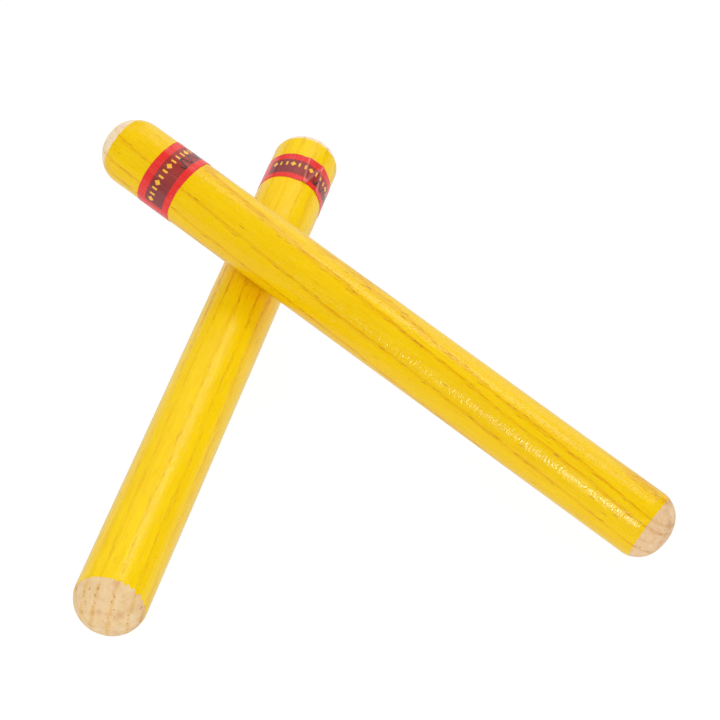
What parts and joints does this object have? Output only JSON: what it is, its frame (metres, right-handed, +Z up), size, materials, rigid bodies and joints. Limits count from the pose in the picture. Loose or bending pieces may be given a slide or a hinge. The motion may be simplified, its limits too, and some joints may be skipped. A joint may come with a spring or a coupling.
{
  "type": "claves",
  "caption": "Pair of round hardwood claves with domed bare ends, yellow gloss stain and a wrapped film label each, one leaning across the other.",
  "frame": {"origin": "on the floor, under the middle of the pair's box at rest", "axes": "+Z up, +Y along the lower stick towards its label, +X towards the end of the upper stick that rests on the floor"},
  "size_m": [0.1876, 0.2, 0.047],
  "materials": {
    "stained_wood": "yellow stain under gloss lacquer, bare at both ends",
    "label_film": "printed gloss film"
  },
  "bodies": {
    "lower_clave": {"lower_stick": "stained_wood", "lower_label": "label_film"},
    "upper_clave": {"upper_stick": "stained_wood", "upper_label": "label_film"}
  },
  "joints": [
    {"name": "lift", "type": "slide", "parent": "lower_clave", "child": "upper_clave", "axis": [0, 0, 1], "range_m": [0, 0.12]}
  ]
}
